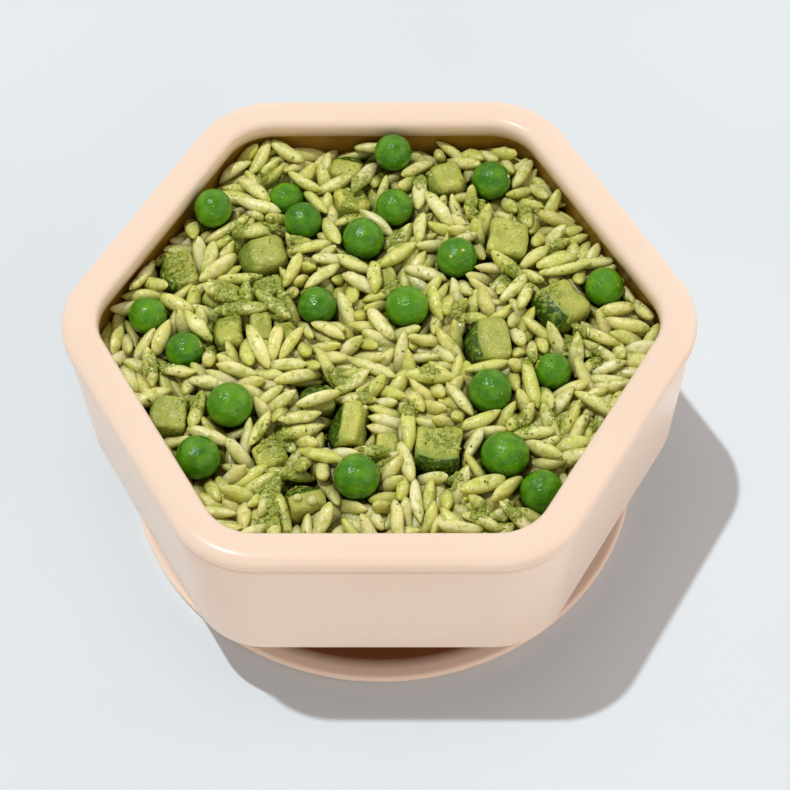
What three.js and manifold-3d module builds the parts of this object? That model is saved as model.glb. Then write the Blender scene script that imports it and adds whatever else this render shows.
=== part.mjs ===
// A hexagonal silicone suction bowl, filled with orzo in pesto, whole peas and diced courgette.
//
// Millimetres, +Z up. The origin is the middle of the foot, on the surface that the bowl stands on.
// The hexagon's corners lie on +X and -X, so two of its flat sides face +Y and -Y.

import * as THREE from 'three';
import { mergeVertices } from 'three/addons/utils/BufferGeometryUtils.js';
import Module from 'manifold-3d';

const wasm = await Module();
wasm.setup();

// ---------------------------------------------------------------- driving dimensions

const GAP = 0.3;                  // clearance between touching pieces

// The hexagon's sides are given by their apothem, the distance from the bowl's axis.
const CORNER = { steps: 4, axis: 39.4, sharpest: 0.4 };     // facets, the arcs' centres, smallest radius
const RIM = {
  outer: 58, width: 7.5, top: 55.5, height: 5.6, squareness: 3,
  turns: [-48, -12, 24, 58, 90, 122, 156, 192, 228],        // degrees round its section
};
const WALL = { foot: 55.3, top: 56.6, underside: 17, edge: 2 };
const BEAD = { z: 49.7, half: 0.35, proud: 0.4 };           // moulding line below the rim, inside and out
const INSIDE = { top: 51.9, bottom: 50.6, floor: 21, fillet: 6.5 };
const FOOT = {
  radius: 54.3, lip: 2.5, lipWidth: 2.5, rounding: 0.7,     // the suction disc and its raised edge
  seatOuter: 53.2, seatInner: 50.2,                         // the flat ring that it stands on
  hollow: 2.2, dish: 2.9, neck: 30,                         // hollow underneath, dished top, neck above
};

const CORE = { edge: 45.2, crown: 1.0, inset: 0.15 };       // top of the packed orzo, and its rise
const ORZO = {
  length: 10.8, width: 3.9, height: 3.5, sides: 5, top: 50.9,
  longest: 1.08, shrink: 0.2,                               // the first grain's length and the last's loss
  tilt: 0.6, lowest: 0.9, lift: 1.5,                        // radians in all, and height above the core
  most: 132, tries: 1500, spacings: [8.5, 7, 6, 5.2, 4.5, 3.9],
};
const UNDER_PEA = { room: 0.8, heading: 0.4 };              // a grain goes under a pea that has this room
const SOCKET = { sides: 7, bottom: 0.8, top: 1.25 };        // a pea's hollow, in radii of the pea
const SMOOTHING = 0.035;          // slivers on the heap thinner than this are smoothed away
const BEVEL = 1.1;                // rounded edge of a courgette dice
const CHAMFER = 0.6;              // cut corner between two of its flat sides

// Peas: middle x, y, z and radius.
const PEAS = [
  [2.5, 46.0, 51.2, 4.1], [-35.2, 31.2, 50.8, 4.2], [-16.3, 28.8, 49.5, 4.1], [2.8, 32.7, 49, 4.2],
  [-3.6, 23.9, 49.5, 4.6], [23.3, 39.6, 49.5, 4.3], [15.9, 18.9, 49.5, 4.4], [-12.8, 6.9, 49, 4.1],
  [5.6, 6.2, 49.5, 4.5], [46.2, 11.8, 48.6, 4.2], [-47.4, 4.8, 48.5, 4.1], [-39.4, -3.6, 47.8, 4.1],
  [-29.5, -18, 49.5, 4.7], [-35.2, -30.3, 49.3, 4.5], [22.2, -14.7, 49.5, 4.6], [-4, -35, 49.5, 4.7],
  [24.9, -29.6, 49, 4.9], [32, -37, 47.2, 4.5], [-20.2, 36.4, 47, 4], [35, -8.2, 47, 4],
];

// Courgette: middle x, y of the top, its height above the table, width, depth, thickness,
// the way its skin side faces in degrees, and how far that side bulges.
const DICE = [
  [-24.7, 20.9, 50.6, 10.6, 9, 8.5, 190, 0.5],
  [-42, 16.6, 49.6, 8.4, 9.6, 8, 200, 0.5],
  [-7.2, 45.4, 49.6, 8.6, 7, 7, 80, 1.2],
  [-6.4, 34.9, 49.8, 7.6, 7.2, 8, 15, 0.3],
  [13.6, 41, 50.2, 8.6, 8.2, 8, 200, 0.4],
  [26.4, 24, 51.2, 8.6, 8.6, 8.5, -8, 0.3],
  [36.6, 7.2, 51, 10.4, 10, 8.5, 215, 1.2],
  [21.8, -1.8, 50.8, 9.4, 10.2, 8.5, 185, 1],
  [-30.7, 0.6, 50, 6.4, 7.4, 8, 185, 0.3],
  [-32.6, 10.2, 49.8, 7, 8, 8, 70, 0.3],
  [-24.1, 2, 49.8, 5, 7, 7.5, 5, 0.3],
  [-18.9, 1.2, 49, 4.2, 5.6, 6.5, 0, 0.3],
  [-12.3, -14.6, 49.8, 8.4, 6.8, 8, 100, 1],
  [-6.4, -21.9, 51.2, 8.2, 9.4, 8.5, 170, 1.4],
  [11.8, -28.2, 51, 9.6, 9.4, 8.5, 265, 1],
  [-14.4, -38, 49.4, 9, 7.6, 7.5, 110, 1.3],
  [-21.4, -27.9, 48.8, 6.6, 6.6, 7, 30, 0.3],
  [-41.8, -19.4, 50, 7.8, 7.8, 6, 180, 1],
  [1.6, -26.3, 48.6, 4.6, 5, 6.5, 0, 0.3],
  [1, 14.6, 49.4, 5.2, 5.6, 6.5, 10, 0.3],
  [-22.6, 12.4, 49.6, 6.4, 5, 7, 20, 0.3],
];

const COLOURS = { silicone: 0xf8ddc9, orzo: 0xd9d595, pea: 0x4f8d1f, courgette: 0xa3b05a };

// ---------------------------------------------------------------- small helpers

// A seeded draw between 0 and 1, the same on every run.
function seeded(seed) {
  let state = seed >>> 0;
  return () => {
    state = (state + 0x6d2b79f5) >>> 0;
    let mixed = Math.imul(state ^ (state >>> 15), 1 | state);
    mixed = (mixed + Math.imul(mixed ^ (mixed >>> 7), 61 | mixed)) ^ mixed;
    return ((mixed ^ (mixed >>> 14)) >>> 0) / 4294967296;
  };
}

function toSolid(geometry) {
  const plain = geometry.clone();
  plain.deleteAttribute('normal');
  plain.deleteAttribute('uv');
  const merged = mergeVertices(plain, 1e-5);
  return new wasm.Manifold(new wasm.Mesh({
    numProp: 3,
    vertProperties: new Float32Array(merged.attributes.position.array),
    triVerts: new Uint32Array(merged.index.array),
  }));
}

function toGeometry(solid) {
  const mesh = solid.getMesh();
  const geometry = new THREE.BufferGeometry();
  geometry.setAttribute('position', new THREE.BufferAttribute(new Float32Array(mesh.vertProperties), 3));
  geometry.setIndex(new THREE.BufferAttribute(new Uint32Array(mesh.triVerts), 1));
  geometry.computeVertexNormals();
  return geometry;
}

// A closed skin over a stack of loops with equally many points, ending in one point at each end.
function loft(bottom, loops, top) {
  const count = loops[0].length;
  const points = [bottom, ...loops.flat(), top];
  const last = points.length - 1;
  const faces = [];
  for (let k = 0; k < count; k += 1) {
    const next = (k + 1) % count;
    faces.push(0, 1 + next, 1 + k);
    for (let row = 0; row + 1 < loops.length; row += 1) {
      const low = 1 + row * count;
      const high = low + count;
      faces.push(low + k, low + next, high + next, low + k, high + next, high + k);
    }
    const rim = 1 + (loops.length - 1) * count;
    faces.push(rim + k, rim + next, last);
  }
  const geometry = new THREE.BufferGeometry();
  geometry.setAttribute('position', new THREE.Float32BufferAttribute(points.flat(), 3));
  geometry.setIndex(faces);
  geometry.computeVertexNormals();
  return geometry;
}

// ---------------------------------------------------------------- hexagon and circle loops

// A hexagon of the given apothem; every loop's corner arcs turn about the same six axes.
function hexagonLoop(apothem, z) {
  const radius = Math.max(apothem - CORNER.axis, CORNER.sharpest);
  const axis = (apothem - radius) / Math.cos(Math.PI / 6);
  const loop = [];
  for (let corner = 0; corner < 6; corner += 1) {
    const facing = corner * Math.PI / 3;
    for (let step = 0; step <= CORNER.steps; step += 1) {
      const turn = facing + (step / CORNER.steps - 0.5) * Math.PI / 3;
      loop.push([
        axis * Math.cos(facing) + radius * Math.cos(turn),
        axis * Math.sin(facing) + radius * Math.sin(turn),
        z,
      ]);
    }
  }
  return loop;
}

// A circle with as many points as a hexagon loop, evenly spread.
function circleLoop(radius, z) {
  const count = 6 * (CORNER.steps + 1);
  return Array.from({ length: count }, (_, k) => {
    const turn = 2 * Math.PI * (k + 0.5) / count - Math.PI / 6;
    return [radius * Math.cos(turn), radius * Math.sin(turn), z];
  });
}

// Distance from the bowl's axis to the flat side nearest to a point: its apothem there.
function apothemAt(x, y) {
  let most = 0;
  for (let side = 0; side < 6; side += 1) {
    const facing = Math.PI / 6 + side * Math.PI / 3;
    most = Math.max(most, x * Math.cos(facing) + y * Math.sin(facing));
  }
  return most;
}

// ---------------------------------------------------------------- bowl

// The crowned section of the rim, from below its outer side over the top to below its inner side.
function rimRows() {
  const middle = RIM.outer - RIM.width / 2;
  const level = RIM.top - RIM.height / 2;
  const power = 2 / RIM.squareness;
  const along = (value) => Math.sign(value) * Math.abs(value) ** power;
  return RIM.turns.map((degrees) => {
    const turn = THREE.MathUtils.degToRad(degrees);
    return [middle + along(Math.cos(turn)) * RIM.width / 2, level + along(Math.sin(turn)) * RIM.height / 2];
  });
}

// Apothem and height of the inner surface below the rim, from its top down to the floor.
function insideRows(inset) {
  const { top, bottom, floor, fillet } = INSIDE;
  const rows = [[top - inset, BEAD.z - 2 * BEAD.half - inset / 2]];
  for (let step = 0; step <= 3; step += 1) {
    const turn = step / 3 * Math.PI / 2;
    rows.push([
      bottom - fillet * (1 - Math.cos(turn)) - inset,
      floor + fillet * (1 - Math.sin(turn)) + inset,
    ]);
  }
  return rows;
}

function bowl() {
  const { radius, lip, rounding, neck } = FOOT;
  const inner = radius - FOOT.lipWidth;
  const foot = [
    [FOOT.seatInner - 6, FOOT.hollow * 0.75], [FOOT.seatInner, 0], [FOOT.seatOuter, 0],
    [radius, 1], [radius, lip - rounding], [radius - rounding, lip],
    [inner + rounding, lip], [inner, lip - 0.6], [inner - 8, FOOT.dish],
    [neck + 5, 5.4], [neck + 1, 9], [neck, WALL.underside],
  ].map(([reach, z]) => circleLoop(reach, z));
  const bead = (wall, way) => [
    [wall, BEAD.z - 2 * BEAD.half], [wall + way * BEAD.proud, BEAD.z - BEAD.half],
    [wall + way * BEAD.proud, BEAD.z + BEAD.half], [wall - way * 0.1, BEAD.z + 1.7 * BEAD.half],
  ];
  const shell = [
    [WALL.foot - WALL.edge, WALL.underside], [WALL.foot - WALL.edge * 0.3, WALL.underside + WALL.edge * 0.3],
    [WALL.foot, WALL.underside + WALL.edge],
    ...bead(WALL.top, 1), ...rimRows(), ...bead(INSIDE.top, -1).reverse(), ...insideRows(0).slice(1),
  ].map(([apothem, z]) => hexagonLoop(apothem, z));
  return loft([0, 0, FOOT.hollow], [...foot, ...shell], [0, 0, INSIDE.floor]);
}

// ---------------------------------------------------------------- peas and courgette

function pea([x, y, z, radius]) {
  const geometry = new THREE.IcosahedronGeometry(radius, 1);
  geometry.rotateZ(x + y);
  geometry.translate(x, y, z);
  return geometry;
}

// A cube cut from a courgette: three sides cut flat, one side the bulging outside.
function courgetteDice([x, y, top, width, depth, thickness, facing, bulge]) {
  const halfWidth = width / 2 - BEVEL;
  const halfDepth = depth / 2 - BEVEL;
  const outline = new THREE.Shape();
  outline.moveTo(-halfWidth, -halfDepth + CHAMFER);
  outline.lineTo(-halfWidth + CHAMFER, -halfDepth);
  outline.lineTo(halfWidth - bulge, -halfDepth);
  outline.lineTo(halfWidth - bulge * 0.3, -halfDepth * 0.45);
  outline.lineTo(halfWidth - bulge * 0.3, halfDepth * 0.45);
  outline.lineTo(halfWidth - bulge, halfDepth);
  outline.lineTo(-halfWidth + CHAMFER, halfDepth);
  outline.lineTo(-halfWidth, halfDepth - CHAMFER);
  const geometry = new THREE.ExtrudeGeometry(outline, {
    depth: thickness - 2 * BEVEL, steps: 1,
    bevelThickness: BEVEL, bevelSize: BEVEL, bevelSegments: 1,
  });
  geometry.translate(0, 0, BEVEL - thickness);
  geometry.rotateZ(THREE.MathUtils.degToRad(facing));
  geometry.translate(x, y, top);
  return geometry;
}

// ---------------------------------------------------------------- orzo

function coreTop(x, y) {
  const edge = apothemAt(x, y) / INSIDE.top;
  return CORE.edge + CORE.crown * (1 - edge * edge);
}

// The packed orzo under the surface, filling the bowl to just below its rim.
function core() {
  const walls = insideRows(GAP).reverse();
  const rows = walls.slice(0, -1).map(([apothem, z]) => hexagonLoop(apothem, z));
  const edge = INSIDE.top - GAP - CORE.inset;
  const cover = [1, 0.7, 0.35].map((share) => hexagonLoop(edge * share, 0)
    .map(([x, y]) => [x, y, coreTop(x, y)]));
  return loft([0, 0, walls[0][1]], [...rows, ...cover], [0, 0, coreTop(0, 0)]);
}

// One grain: a spindle along X with rounded points and few sides.
function grainGeometry(length) {
  const share = [[-0.36, 0.68], [0, 1], [0.36, 0.68]];
  const loops = share.map(([place, thickness]) => Array.from({ length: ORZO.sides }, (_, k) => {
    const turn = 2 * Math.PI * k / ORZO.sides;
    return [
      place * length,
      Math.cos(turn) * thickness * ORZO.width / 2,
      Math.sin(turn) * thickness * ORZO.height / 2,
    ];
  }));
  return loft([-length / 2, 0, 0], loops, [length / 2, 0, 0]);
}

// How far a ball at a point is from the toppings and the wall; below 0 it would cross them.
function clearance(point, radius) {
  let least = INSIDE.bottom - apothemAt(point.x, point.y);
  for (const [x, y, z, size] of PEAS) {
    least = Math.min(least, Math.hypot(point.x - x, point.y - y, point.z - z) - size);
  }
  for (const [x, y, top, width, depth, , facing] of DICE) {
    const turn = THREE.MathUtils.degToRad(facing);
    const ahead = Math.abs((point.x - x) * Math.cos(turn) + (point.y - y) * Math.sin(turn)) - width / 2;
    const aside = Math.abs((point.y - y) * Math.cos(turn) - (point.x - x) * Math.sin(turn)) - depth / 2;
    const above = point.z - top;
    least = Math.min(least, Math.hypot(Math.max(ahead, 0), Math.max(aside, 0), Math.max(above, 0)));
  }
  return least - radius - GAP;
}

// A grain with its middle at a point, turned to a heading and tilted up along it.
function placedGrain(middle, heading, tilt, length) {
  const along = new THREE.Vector3(
    Math.cos(heading) * Math.cos(tilt), Math.sin(heading) * Math.cos(tilt), Math.sin(tilt),
  );
  const side = new THREE.Vector3(-Math.sin(heading), Math.cos(heading), 0);
  const frame = new THREE.Matrix4().makeBasis(along, side, along.clone().cross(side));
  return { middle, along, length, geometry: grainGeometry(length).applyMatrix4(frame.setPosition(middle)) };
}

// True where a grain stays clear of the toppings, the wall and the top of the heap.
function isClear({ middle, along, length }) {
  return [-0.5, -0.36, -0.18, 0, 0.18, 0.36, 0.5].every((share) => {
    const point = middle.clone().addScaledVector(along, share * length);
    const radius = ORZO.width / 2 * (1 - 3 * share * share);
    return clearance(point, radius) > 0 && point.z + radius < ORZO.top;
  });
}

// Grains lie on the core at seeded places, spread ever closer. One that would cross a topping
// or the wall is turned, then shortened, and left out only if that doesn't help.
function grains() {
  const draw = seeded(20);
  const placed = PEAS.filter(([x, y, z, radius]) => z - radius > coreTop(x, y) + UNDER_PEA.room)
    .map(([x, y, z, radius]) => placedGrain(
      new THREE.Vector3(x, y, z - radius - GAP - ORZO.height / 2), UNDER_PEA.heading, 0, ORZO.length,
    ));
  for (const spacing of ORZO.spacings) {
    for (let attempt = 0; attempt < ORZO.tries && placed.length < ORZO.most; attempt += 1) {
      const x = (draw() * 2 - 1) * RIM.outer;
      const y = (draw() * 2 - 1) * RIM.outer;
      const tilt = (draw() - 0.5) * ORZO.tilt;
      const lift = ORZO.lowest + ORZO.lift * draw();
      const heading = draw() * Math.PI;
      const length = ORZO.length * (ORZO.longest - ORZO.shrink * placed.length / ORZO.most);
      const crowded = placed.some(({ middle }) => Math.hypot(middle.x - x, middle.y - y) < spacing);
      if (crowded || apothemAt(x, y) > INSIDE.bottom) continue;
      const middle = new THREE.Vector3(x, y, coreTop(x, y) + lift);
      const choices = [1, 0.8].flatMap((share) => [0, 1, 2, 3, 4, 5]
        .map((turn) => placedGrain(middle, heading + turn * Math.PI / 6, tilt, length * share)));
      const grain = choices.find(isClear);
      if (grain) placed.push(grain);
    }
  }
  return placed.map(({ geometry }) => geometry);
}

// The hollow that a pea presses into the core: seven flat sides round its lower half.
function peaSocket([x, y, z, radius]) {
  const depth = radius + GAP;
  const geometry = new THREE.CylinderGeometry(
    SOCKET.top * radius, SOCKET.bottom * radius, depth, SOCKET.sides,
  );
  geometry.rotateX(Math.PI / 2);
  geometry.translate(x, y, z - radius - GAP + depth / 2);
  return geometry;
}

// The hollow round a courgette dice, with upright walls.
function diceSocket([x, y, top, width, depth, thickness, facing]) {
  const geometry = new THREE.BoxGeometry(width + 2 * GAP, depth + 2 * GAP, thickness + 2 * GAP);
  geometry.rotateZ(THREE.MathUtils.degToRad(facing));
  geometry.translate(x, y, top - thickness / 2);
  return geometry;
}

function orzoHeap() {
  let heap = toSolid(core());
  for (const place of PEAS) heap = heap.subtract(toSolid(peaSocket(place)));
  for (const place of DICE) heap = heap.subtract(toSolid(diceSocket(place)));
  for (const grain of grains()) heap = heap.add(toSolid(grain));
  const bodies = heap.asOriginal().simplify(SMOOTHING).decompose();
  bodies.sort((a, b) => b.volume() - a.volume());
  return toGeometry(bodies[0]);      // scraps that touch nothing are left out
}

// ---------------------------------------------------------------- the model

const group = new THREE.Group();

function addPiece(name, geometry, color, roughness) {
  const material = new THREE.MeshStandardMaterial({ color, roughness, metalness: 0 });
  const mesh = new THREE.Mesh(geometry, material);
  mesh.name = name;
  group.add(mesh);
}

const numbered = (name, index) => `${name}_${String(index + 1).padStart(2, '0')}`;

addPiece('bowl', bowl(), COLOURS.silicone, 0.45);
addPiece('orzo_heap', orzoHeap(), COLOURS.orzo, 0.4);
PEAS.forEach((place, index) => addPiece(numbered('pea', index), pea(place), COLOURS.pea, 0.25));
DICE.forEach((place, index) => {
  addPiece(numbered('courgette', index), courgetteDice(place), COLOURS.courgette, 0.35);
});

export default group;
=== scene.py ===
"""A hexagonal silicone suction bowl filled with orzo in pesto, whole peas and diced courgette.

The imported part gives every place: peas and dice are made where its nodes are, and the orzo is
poured round them. Lengths are in millimetres and angles in degrees; make_piece() turns them to metres.
"""
import math

import bmesh
import bpy
import numpy as np
from mathutils import Matrix, Vector, noise
from mathutils.bvhtree import BVHTree


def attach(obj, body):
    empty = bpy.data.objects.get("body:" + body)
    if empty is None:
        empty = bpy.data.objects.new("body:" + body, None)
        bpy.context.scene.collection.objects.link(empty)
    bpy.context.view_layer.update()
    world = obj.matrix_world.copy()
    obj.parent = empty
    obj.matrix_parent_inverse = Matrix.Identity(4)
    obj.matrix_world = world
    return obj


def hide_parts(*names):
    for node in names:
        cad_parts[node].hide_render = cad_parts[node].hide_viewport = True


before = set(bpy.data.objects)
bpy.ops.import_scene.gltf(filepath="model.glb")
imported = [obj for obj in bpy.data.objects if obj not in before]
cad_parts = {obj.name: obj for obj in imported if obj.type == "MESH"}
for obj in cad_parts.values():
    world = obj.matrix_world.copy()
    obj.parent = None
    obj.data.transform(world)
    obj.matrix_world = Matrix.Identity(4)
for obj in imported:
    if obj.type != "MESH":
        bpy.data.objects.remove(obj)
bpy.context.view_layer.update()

MM = 0.001
GAP = 0.3                     # clearance between touching pieces

# ------------------------ sizes

# The hexagon's sides are given by their distance from the bowl's axis.
CORNER = {"steps": 24, "axis": 39.4, "sharpest": 0.4}
RIM = {
    "outer": 57.94, "width": 7.44, "top": 55.5, "height": 5.6, "under": 1.5,
    "squareness": (2.7, 3.4), "turns": (-46, 200), "steps": 44,
}
WALL = {"foot": 55.3, "top": 57.25, "underside": 17.0, "shoulder": 50.25}
BEAD = {"z": 50.9, "half": 0.2, "proud": 0.35, "slant": 0.05, "above": 0.35, "below": 1.5}
INSIDE = {"top": 51.9, "bottom": 50.6, "floor": 21.0, "fillet": 6.5, "steps": 10}
FOOT = {"radius": 54.3, "lip": 2.5, "seat": (50.2, 53.2), "hollow": 2.2, "neck": 30.0}
OIL_FILM_AND_SHADE = {"top": 53.4, "fade": 2.6, "rim_loops": 8}      # how high the pesto's oil film, with painted shade under the rim, stands on the wall
FOOT_SHADE = {"inset": 2.2, "fade": 2.5, "lowest": 1.9, "under_wall": 1}      # where painted shade darkens the foot's disc

# The imported orzo under the loose grains, and the relief of its top.
CORE = {
    "top": 43.6, "crown": 0.8, "sunk": 0.4, "side": 1, "chamfer": 0.5,
    "bump": 1.0, "bump_size": 3.2, "calm_edge": 12, "rings": 70, "last_ring": 0.02,
}
# Painted shade, with the oil that has run down, darkens what lies below the food's surface, which is read
# from a grid of 1 mm cells.
SOAK_AND_SHADE = {"cells": 124, "around": 3, "from": 0.4, "depth": 3.4, "power": 1.3}
# Pesto is smeared round its dabs, and in patches everywhere.
SMEAR = {"spread": 0.8, "patches": 0.35, "patch_size": 6.0, "least": 0.1}

PEA_FORM = {
    "detail": 5, "squeeze": 0.045, "dents": 0.018, "dent_size": 0.9, "shrunk": 0.012,
    "creases": 0.014, "crease_size": 0.5, "crease_edge": 7, "wrinkled": (0.2, 1.0),
}
# top_share and under_fade set where the painted shade on a grain's underside begins and how it fades.
GRAIN = {
    "length": (8.2, 11.4), "width": (2.8, 3.45), "flatness": (0.76, 0.94),
    "taper": (0.46, 0.8), "bend": 0.8, "bend_spread": 0.4, "droop": 0.35, "rings": 11, "sides": 12,
    "ends": 0.93, "fullness": 2.2, "seam": 0.12, "seam_width": 0.35,
    "uneven": 0.13, "waves": 0.8, "roll": 1.2, "top_share": 0.66, "under_fade": 1.1,
}
# Later grains are dropped from higher up, and fewer of them at the front.
DROP = {"reach": 57, "from_wall": 3.5, "share": 0.82, "front_loss": 280, "lowest": 2, "highest": 14}
# Grains fall by "fall" a step, and by "calm" of that in the last steps. Pairs less than "near" apart
# are found anew every "look_every" steps, and a grain that ends above "highest" is left out.
POUR = {
    "grains": 750, "steps": 260, "fall": 0.16, "calm_from": 0.75, "calm": 0.25, "tilt": 34,
    "balls": 7, "end_ball": 0.44, "round": 0.65, "slim": 0.95,
    "near": 12.5, "look_every": 8, "overpush": 1.25, "lid": 53.6, "lid_push": 0.15, "highest": 54.6,
}
CLEAR = {"pea": 0.05, "dice_edge": 1.6, "dice_step": 0.8}       # how the grains keep off peas and dice

# The larger dice stay bare. Sizes are a quarter of their top in mm2; the rest are shares.
BARE = {"large": 17, "seldom": 0.95, "small_seldom": 0.4, "kept_large": 15, "kept_middle": 0.75}
DICE_FORM = {
    "cuts": 19, "lean": 5, "bulge": 0.4, "skin_bulge": 0.9, "slope_from": (0.1, 0.2), "slope_power": 1.5,
    "sag": 0.4, "waves": (0.65, 0.16), "wave_sizes": (4.5, 1.4), "shrunk": 0.22, "tints": 0.6, "paler": 0.4,
}
# How far the skin, and the greener flesh under it, reach into a dice that has any.
PEEL = {
    "any": 0.1, "dark": 1.6, "depth": 0.75, "curve": 0.5, "skin_curve": 0.6, "edge": 0.35,
    "rind": 2.6, "rind_least": 0.25, "rind_more": 0.6,
}

# The way each dice's skin side faces, how dark its skin is (0 is cut from the middle of the fruit), how
# far that side slopes in at the top, and how round its edges are.
DICE_CUT = [
    (190, 0.25, 0.3, 0.7), (200, 0.6, 0.3, 0.5), (80, 1.0, 0.7, 0.5), (15, 0.0, 0.0, 0.45),
    (200, 0.2, 0.2, 0.5), (-8, 0.0, 0.0, 0.32), (215, 0.7, 0.4, 0.45), (185, 0.6, 0.35, 0.35),
    (185, 0.3, 0.0, 0.5), (70, 0.0, 0.0, 0.5), (5, 0.0, 0.0, 0.5), (0, 0.0, 0.0, 0.5),
    (100, 0.9, 0.9, 0.4), (170, 1.0, 0.75, 0.3), (265, 0.8, 0.15, 0.28), (110, 1.0, 0.9, 0.35),
    (30, 0.0, 0.0, 0.5), (180, 0.2, 0.0, 0.4), (0, 0.0, 0.0, 0.4), (10, 0.0, 0.0, 0.4),
    (20, 0.0, 0.0, 0.45),
]

# Middles of the thicker dabs of pesto, x and y, and how wide each spreads.
PESTO_DABS = [
    (-31, 8, 4.0), (-21, 7, 3.5), (-24, 13, 3.0), (-42, 17, 3.5), (-5, 37, 3.0), (-37, -17, 2.5),
    (3, 12, 2.5), (-20, -26, 3.5), (-17, -33, 3.0), (27, 15, 2.5), (34, 10, 2.5), (13, -27, 2.5),
    (-8, -12, 2.5), (17, 5, 2.5), (40, 0, 2.5), (20, 33, 2.5), (-30, 26, 2.5), (8, 40, 2.5),
    (-21, -37, 2.4), (29, -22, 2.5), (-45, -8, 2.5), (10, -10, 2.0), (30, 31, 2.5), (0, -30, 2.5),
    (-23, 28, 2.0), (-25, 42, 1.8), (-7, 31, 2.2), (-30, 5, 2.2), (3, 25, 2.0), (-18, 22, 1.6),
    (6, -19, 1.8), (-3, -17, 1.8), (35, -20, 2.0), (43, -22, 1.8), (31, -7, 2.0), (20, -42, 1.8),
    (37, 23, 1.8), (44, -5, 1.8), (-20, -43, 2.2), (-35, -3, 1.8), (15, -35, 1.6), (26, -43, 1.8),
]

# How small things fall on the food: "lean" tilts their way down, "slope" is how much the food has to
# face up there, and a size is the smallest and what chance adds, to a power that makes large ones rare.
SHREDS = {
    "count": 2600, "reach": 58, "from_wall": 0.6, "lean": 0.4, "slope": 0.05, "size": (0.12, 0.55, 4),
    "patches": 1.1, "patch_size": 5, "least": 0.35,
}
CRUMBS = {
    "count": 48, "reach": 55, "from_wall": 1.5, "lean": 0.3, "slope": 0.3, "size": (0.5, 0.7, 2),
}
DAB_SHREDS = {
    "count": 8, "spread": 1.5, "from_wall": 0.8, "lean": 0.3, "slope": 0.0, "size": (0.15, 0.45, 2),
    "lift": 0.3,
}
DAB_LUMPS = {
    "count": 15, "spread": 2.0, "from_wall": 1.2, "lean": 0.2, "slope": 0.2, "size": (0.5, 1.2, 2),
    "lift": 0,
}
LUMP = {"rough": 0.35, "length": (0.8, 1.5), "width": (0.5, 0.9), "shred": 0.45, "dab": 0.4}
CRUMB = {"rough": 0.12, "rough_size": 0.8, "flatness": 0.85, "lift": 0.25}
LARGE_CRUMBS = [(-15.4, -40.0, 1.7), (-12.5, -40.6, 2.0)]       # x, y and size
LOOK = {"level": 50.0, "above": 30.0}      # the level that is aimed at, and how far above it a look starts

# Where each use of the noise starts, so that no two are alike.
NOISE_STEPS = (17.3, 5.1, 9.7)
NOISE = {"pesto": 3, "core": 7, "creases": 40, "dice": 80, "dice_fine": 120}


# ------------------------ camera and light

CAMERA = {"x": 9.62, "y": -280.26, "z": 432.34, "azimuth": 1.37, "elevation": 55.34, "roll": -1.21}
LENS = {"focal": 106.6, "sensor": 36.0, "near": 0.05, "far": 20.0}
LAMP = {"strength": 1.83, "width": 1.5, "colour": (0.93, 0.99, 1.0), "toward": (-0.259, 0.087, 1.0)}
ROOM = {"walls": 1.2, "ceiling": 0.22, "left": 0.66, "right": 1.42, "colour": (1.0, 0.92, 0.86, 1.0)}


def place_camera():
    """The photograph's view: from in front, looking down at the food, with a hardly visible roll."""
    azimuth, elevation = math.radians(CAMERA["azimuth"]), math.radians(CAMERA["elevation"])
    back = Vector((
        math.sin(azimuth) * math.cos(elevation),
        -math.cos(azimuth) * math.cos(elevation),
        math.sin(elevation),
    ))
    data = bpy.data.cameras.new("camera")
    data.lens, data.sensor_width = LENS["focal"], LENS["sensor"]
    data.clip_start, data.clip_end = LENS["near"], LENS["far"]
    camera = bpy.data.objects.new("camera", data)
    bpy.context.scene.collection.objects.link(camera)
    turn = (-back).to_track_quat("-Z", "Y").to_matrix().to_4x4()
    place = Matrix.Translation(Vector((CAMERA["x"], CAMERA["y"], CAMERA["z"])) * MM)
    camera.matrix_world = place @ turn @ Matrix.Rotation(math.radians(CAMERA["roll"]), 4, "Z")
    bpy.context.scene.camera = camera


def light_studio():
    """One hard, slightly cool lamp high up on the left, in a pale room that is dark overhead."""
    lamp = bpy.data.lights.new("lamp", "SUN")
    lamp.energy = LAMP["strength"]
    lamp.angle = math.radians(LAMP["width"])
    lamp.color = LAMP["colour"]
    shown = bpy.data.objects.new("lamp", lamp)
    shown.rotation_mode = "QUATERNION"
    shown.rotation_quaternion = (-Vector(LAMP["toward"])).to_track_quat("-Z", "Y")
    bpy.context.scene.collection.objects.link(shown)
    world = bpy.data.worlds.new("pale_room")
    world.use_nodes = True
    tree = world.node_tree
    way = add(tree, "ShaderNodeTexCoord", {}, "Generated")
    side = add(tree, "ShaderNodeSeparateXYZ", {0: way}, "X")
    height = add(tree, "ShaderNodeSeparateXYZ", {0: way}, "Z")
    across = add(tree, "ShaderNodeMapRange", {
        "Value": side, "From Min": -1.0, "To Min": ROOM["left"], "To Max": ROOM["right"],
    })
    upward = add(tree, "ShaderNodeMapRange", {
        "Value": height, "To Min": ROOM["walls"], "To Max": ROOM["ceiling"],
    })
    strength = add(tree, "ShaderNodeMath", {0: across, 1: upward}, operation="MULTIPLY")
    background = tree.nodes["Background"]
    background.inputs["Color"].default_value = ROOM["colour"]
    tree.links.new(strength, background.inputs["Strength"])
    bpy.context.scene.world = world
    bpy.context.scene.view_settings.view_transform = "Standard"
    bpy.context.scene.view_settings.look = "None"


# ------------------------ materials

def colour(code):
    """Linear RGBA of an sRGB hex code."""
    values = [int(code[k:k + 2], 16) / 255 for k in (1, 3, 5)]
    return (*[v / 12.92 if v <= 0.04045 else ((v + 0.055) / 1.055) ** 2.4 for v in values], 1.0)


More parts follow.
